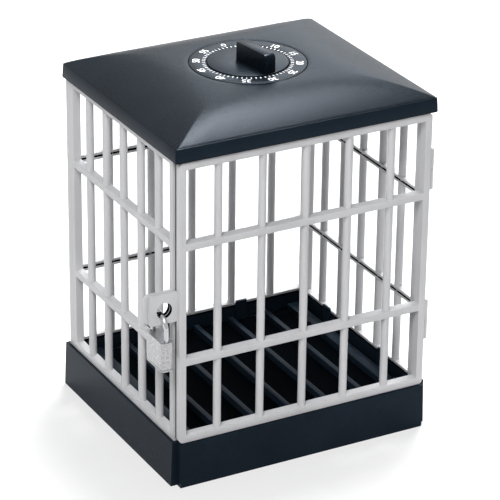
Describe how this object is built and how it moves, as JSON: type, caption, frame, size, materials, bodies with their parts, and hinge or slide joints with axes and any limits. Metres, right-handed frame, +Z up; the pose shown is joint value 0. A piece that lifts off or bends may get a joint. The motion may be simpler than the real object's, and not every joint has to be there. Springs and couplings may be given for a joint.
{
  "type": "timed lock container",
  "caption": "Barred box on a high plinth, with a hinged door, a hasp with a small padlock, and a lid that carries a wind-up timer.",
  "frame": {"origin": "centre of the plinth's flat underside, on the middle plane of the cage", "axes": "+Z up, -Y out of the barred door, +X towards the door's hinges"},
  "size_m": [0.1761, 0.1441, 0.2227],
  "materials": {
    "black_plastic": "satin black moulded plastic",
    "cage_plastic": "light grey moulded plastic, matt",
    "dial_plastic": "black plastic with a white printed minute scale",
    "lock_chrome": "bright plated steel",
    "plain_steel": "zinc plated steel",
    "movement_brass": "stamped brass"
  },
  "bodies": {
    "housing": {"base_tray": "black_plastic", "base_cover": "black_plastic", "base_screws": "plain_steel", "left_panel": "cage_plastic", "right_panel": "cage_plastic", "rear_panel": "cage_plastic", "hinge_pins": "plain_steel", "lid_shell": "black_plastic", "dial_ring": "dial_plastic", "timer_case": "black_plastic", "case_screws": "plain_steel", "top_plate": "plain_steel", "bottom_plate": "plain_steel", "plate_pillars": "movement_brass", "spring_barrel": "plain_steel", "mainspring": "plain_steel", "bell": "plain_steel"},
    "door": {"door_panel": "cage_plastic"},
    "knob": {"timer_knob": "black_plastic", "timer_shaft": "plain_steel", "main_wheel": "movement_brass"},
    "second_train": {"second_arbor": "plain_steel", "second_wheel": "movement_brass"},
    "escape_train": {"escape_arbor": "plain_steel", "escape_wheel": "movement_brass"},
    "pallet": {"pallet_lever": "plain_steel"},
    "hammer": {"bell_hammer": "plain_steel"},
    "shackle": {"padlock_shackle": "lock_chrome"},
    "padlock": {"padlock_body": "lock_chrome", "shackle_spring": "plain_steel"},
    "plug": {"lock_plug": "movement_brass"},
    "bolt": {"lock_bolt": "plain_steel"}
  },
  "joints": [
    {"name": "door_hinge", "type": "hinge", "parent": "housing", "child": "door", "pos_m": [0.079, -0.066, 0.1124], "axis": [0, 0, 1], "range_deg": [0, 115]},
    {"name": "knob_turn", "type": "hinge", "parent": "housing", "child": "knob", "pos_m": [0, 0, 0.21], "axis": [0, 0, 1], "range_deg": [-187, 173]},
    {"name": "second_turn", "type": "hinge", "parent": "housing", "child": "second_train", "pos_m": [-0.01299, 0.0075, 0.2], "axis": [0, 0, 1], "range_deg": [-692, 748]},
    {"name": "escape_turn", "type": "hinge", "parent": "housing", "child": "escape_train", "pos_m": [-0.01695, -0.00435, 0.2], "axis": [0, 0, 1], "range_deg": [-2992, 2768]},
    {"name": "pallet_rock", "type": "hinge", "parent": "housing", "child": "pallet", "pos_m": [-0.01523, -0.01372, 0.1966], "axis": [0, 0, 1], "range_deg": [-3, 3]},
    {"name": "hammer_swing", "type": "hinge", "parent": "housing", "child": "hammer", "pos_m": [0.0174, 0, 0.19], "axis": [0, 0, 1], "range_deg": [-12, 3]},
    {"name": "padlock_swing", "type": "hinge", "parent": "housing", "child": "shackle", "pos_m": [-0.0864, -0.0631, 0.1063], "axis": [0, 1, 0], "range_deg": [-7, 120]},
    {"name": "lock_drop", "type": "slide", "parent": "shackle", "child": "padlock", "axis": [0, 0, -1], "range_m": [0, 0.0075], "deforming": ["shackle_spring"]},
    {"name": "plug_turn", "type": "hinge", "parent": "padlock", "child": "plug", "pos_m": [-0.0864, -0.0631, 0.08], "axis": [0, 0, 1], "range_deg": [0, 90]},
    {"name": "bolt_slide", "type": "slide", "parent": "padlock", "child": "bolt", "axis": [0, 1, 0], "range_m": [0, 0.0016]}
  ],
  "couplings": [
    {"joint": "second_turn", "follows": "knob_turn", "ratio": -4},
    {"joint": "escape_turn", "follows": "knob_turn", "ratio": 16},
    {"joint": "plug_turn", "follows": "lock_drop", "rad_per_m": 209.4},
    {"joint": "bolt_slide", "follows": "lock_drop", "ratio": 0.2133}
  ]
}
